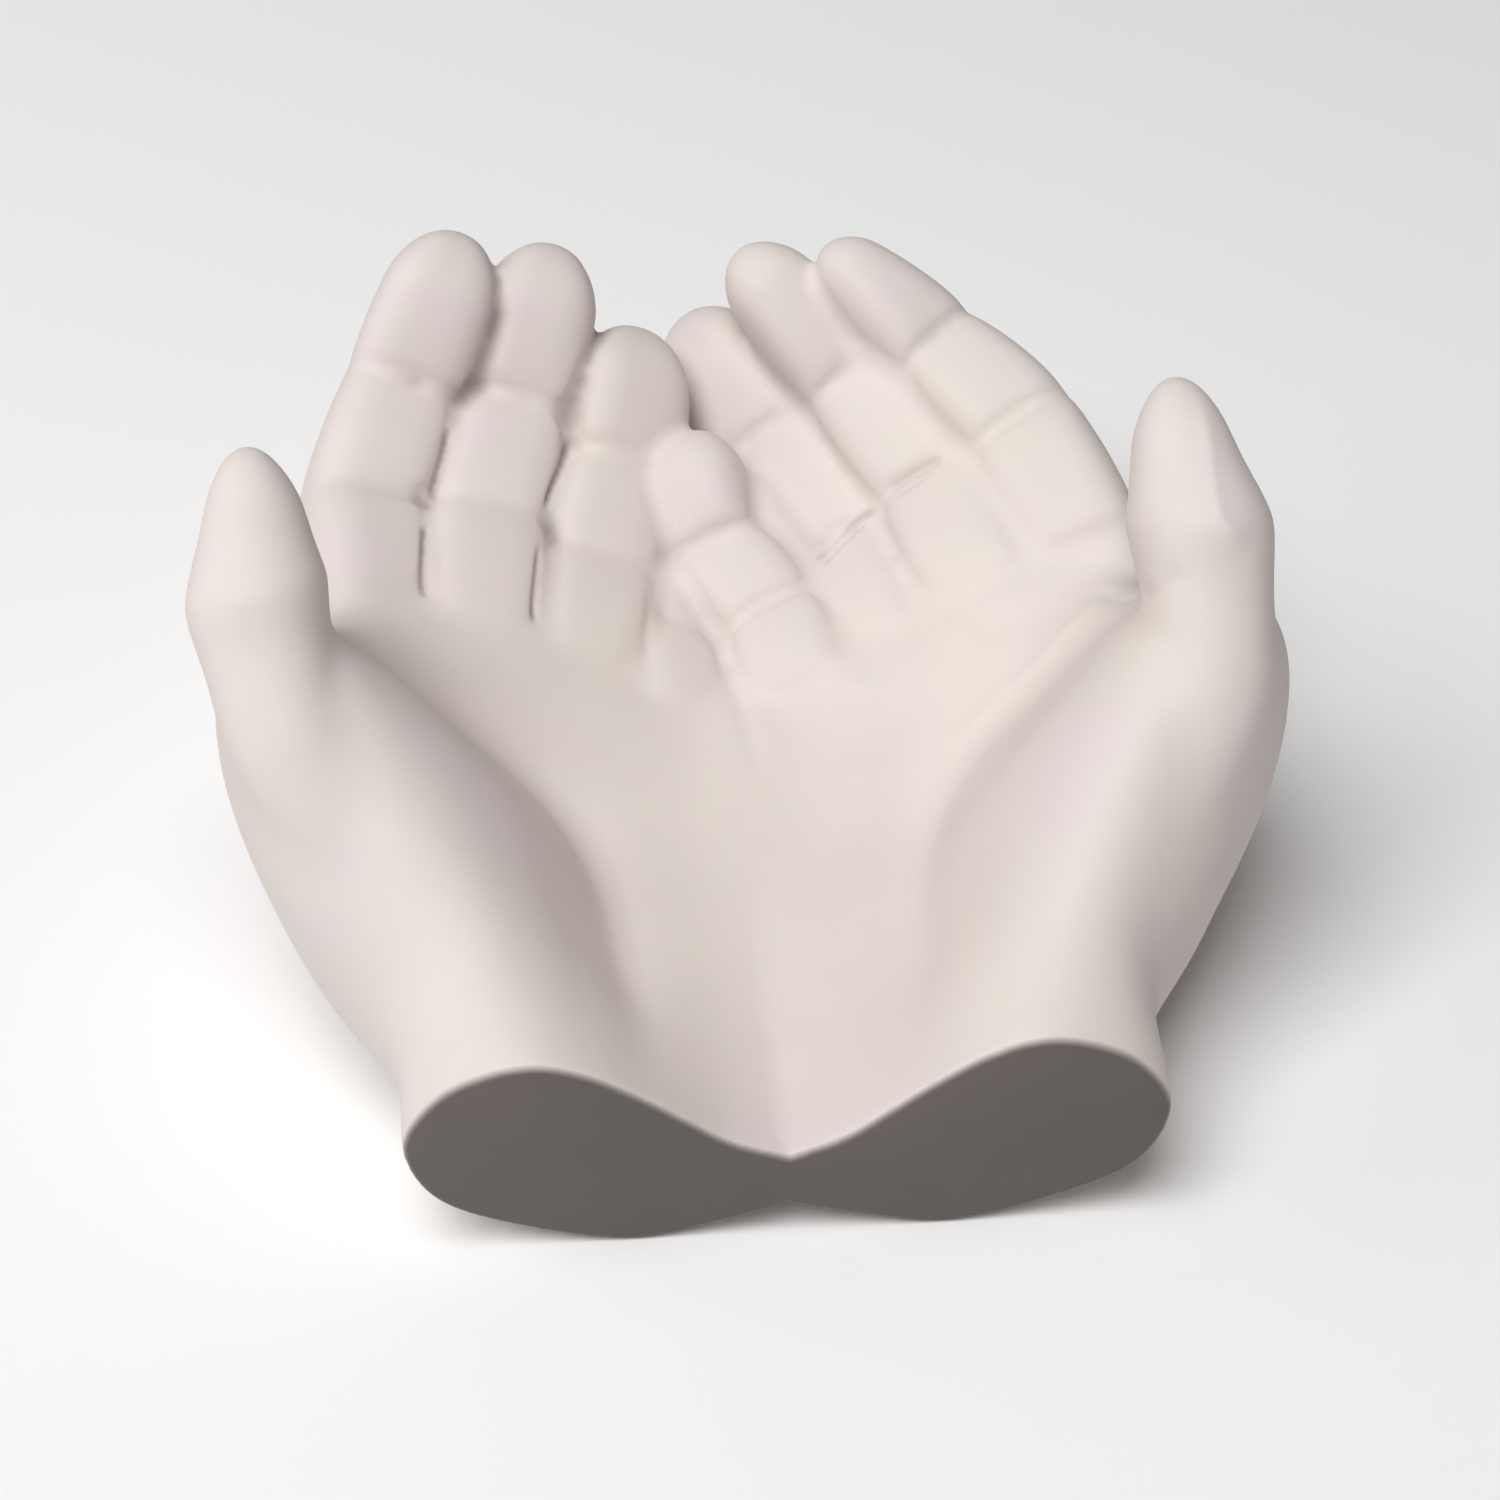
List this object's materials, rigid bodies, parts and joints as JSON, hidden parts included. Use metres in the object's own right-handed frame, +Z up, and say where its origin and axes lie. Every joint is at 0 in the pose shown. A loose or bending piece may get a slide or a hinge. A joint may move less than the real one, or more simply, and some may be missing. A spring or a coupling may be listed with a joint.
{
  "type": "hand-shaped bowl",
  "caption": "Shallow bowl in the shape of two cupped hands, palms up, with flat cut wrists, for holding small things.",
  "frame": {"origin": "under the middle of the piece, on the surface that it stands on", "axes": "+Z up out of the palms, +Y from the cut wrists towards the fingertips, +X towards the right hand as seen from the wrists"},
  "size_m": [0.1734, 0.1874, 0.0969],
  "materials": {
    "cast_plaster": "matte off-white cast plaster or resin, sanded smooth"
  },
  "bodies": {
    "root": {"cupped_hands": "cast_plaster"}
  },
  "joints": []
}
